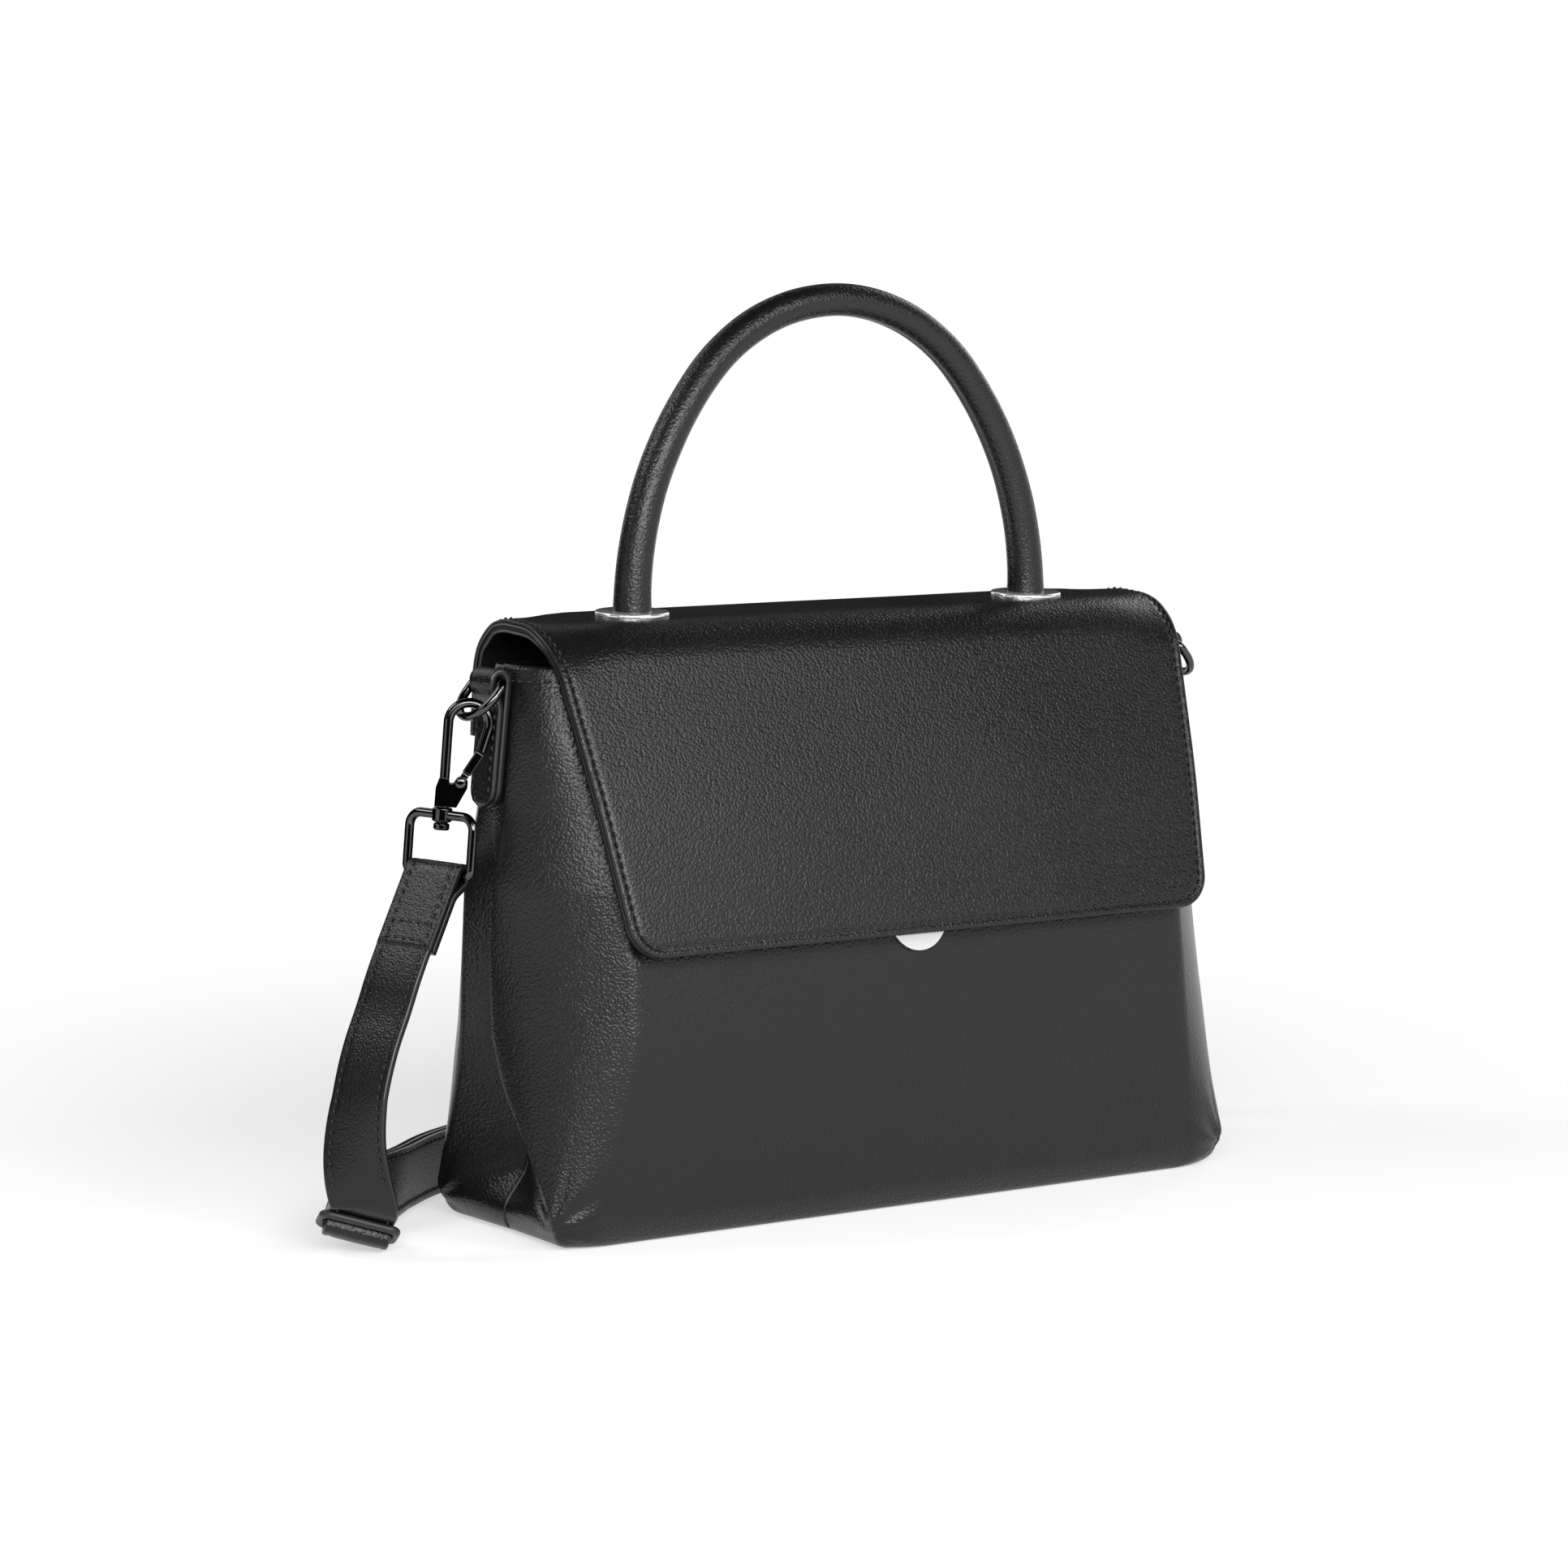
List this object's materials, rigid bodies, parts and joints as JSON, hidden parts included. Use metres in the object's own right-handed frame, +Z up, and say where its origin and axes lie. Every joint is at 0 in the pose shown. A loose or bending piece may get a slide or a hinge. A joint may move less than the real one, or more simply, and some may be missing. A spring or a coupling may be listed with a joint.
{
  "type": "top handle bag",
  "caption": "Structured leather bag with a front flap, a rigid arched top handle and a clip-on shoulder strap.",
  "frame": {"origin": "on the floor under the middle of the base", "axes": "+X to the bag's right, +Y to its back, +Z up; the flap's front faces -Y"},
  "size_m": [0.3632, 0.1532, 0.3147],
  "materials": {
    "leather_black": "fine grain, satin",
    "lining_cloth": "plain weave",
    "stiff_board": "raw board",
    "bright_metal": "polished",
    "dark_metal": "polished dark nickel",
    "plain_steel": "plain",
    "slide_black": "matt",
    "handle_plastic": "moulded tube"
  },
  "bodies": {
    "bag": {"front_panel": "leather_black", "back_panel": "leather_black", "lining": "lining_cloth", "mouth_facing": "leather_black", "base_board": "stiff_board", "flap_tail": "leather_black", "lock_plate": "bright_metal", "lock_magnet": "plain_steel", "ring_tab_left": "leather_black", "ring_tab_right": "leather_black", "strap_slider": "slide_black", "strap_drop": "leather_black", "strap_pass": "leather_black", "strap_anchor": "leather_black", "strap_back_outer": "leather_black", "strap_back_inner": "leather_black", "strap_rise_outer": "leather_black", "strap_rise_inner": "leather_black"},
    "flap": {"flap_outer": "leather_black", "flap_board": "stiff_board", "flap_lining": "lining_cloth", "flap_magnet": "plain_steel", "flap_magnet_washer": "plain_steel", "handle_cover": "leather_black", "handle_core": "handle_plastic", "handle_plate_left": "bright_metal", "handle_plate_right": "bright_metal", "handle_screws": "plain_steel", "handle_washers": "plain_steel"},
    "loop_left": {"strap_loop_left": "dark_metal", "strap_end_left": "leather_black"},
    "ring_left": {"d_ring_left": "dark_metal"},
    "hook_left": {"hook_body_left": "dark_metal", "gate_pin_left": "plain_steel", "gate_spring_left": "plain_steel"},
    "gate_left": {"hook_gate_left": "dark_metal"},
    "loop_right": {"strap_loop_right": "dark_metal", "strap_turn_right": "leather_black"},
    "ring_right": {"d_ring_right": "dark_metal"},
    "hook_right": {"hook_body_right": "dark_metal", "gate_pin_right": "plain_steel", "gate_spring_right": "plain_steel"},
    "gate_right": {"hook_gate_right": "dark_metal"}
  },
  "joints": [
    {"name": "flap_hinge", "type": "hinge", "parent": "bag", "child": "flap", "pos_m": [0, 0.03248, 0.164], "axis": [-1, 0, 0], "range_deg": [0, 120]},
    {"name": "loop_swing_left", "type": "hinge", "parent": "bag", "child": "loop_left", "pos_m": [-0.14036, 0, 0.18532], "axis": [0, 1, 0], "range_deg": [0, 25], "deforming": ["strap_drop"]},
    {"name": "ring_swing_left", "type": "hinge", "parent": "bag", "child": "ring_left", "pos_m": [-0.14036, 0, 0.18532], "axis": [0, 1, 0], "range_deg": [0, 25]},
    {"name": "hook_swivel_left", "type": "hinge", "parent": "loop_left", "child": "hook_left", "pos_m": [-0.15746, 0.00267, 0.14176], "axis": [0.0872, 0, 0.9962], "range_deg": [0, 12]},
    {"name": "gate_left", "type": "hinge", "parent": "hook_left", "child": "gate_left", "pos_m": [-0.15198, 0.00005, 0.15222], "axis": [-0.4981, -0.866, 0.0436], "range_deg": [0, 14], "stiffness_Nm_per_rad": 0.02, "springref_deg": -17.19},
    {"name": "loop_swing_right", "type": "hinge", "parent": "bag", "child": "loop_right", "pos_m": [0.14036, 0, 0.18532], "axis": [0, -1, 0], "range_deg": [0, 25], "deforming": ["strap_rise_outer", "strap_rise_inner"]},
    {"name": "ring_swing_right", "type": "hinge", "parent": "bag", "child": "ring_right", "pos_m": [0.14036, 0, 0.18532], "axis": [0, -1, 0], "range_deg": [0, 25]},
    {"name": "hook_swivel_right", "type": "hinge", "parent": "loop_right", "child": "hook_right", "pos_m": [0.15006, 0.02217, 0.14669], "axis": [0.0748, -0.4059, 0.9108], "range_deg": [-6, 0]},
    {"name": "gate_right", "type": "hinge", "parent": "hook_right", "child": "gate_right", "pos_m": [0.1475, 0.01397, 0.15521], "axis": [-0.7636, 0.5641, 0.3141], "range_deg": [0, 14], "stiffness_Nm_per_rad": 0.02, "springref_deg": -17.19}
  ],
  "couplings": [
    {"joint": "ring_swing_left", "follows": "loop_swing_left", "ratio": 1},
    {"joint": "ring_swing_right", "follows": "loop_swing_right", "ratio": 1}
  ]
}
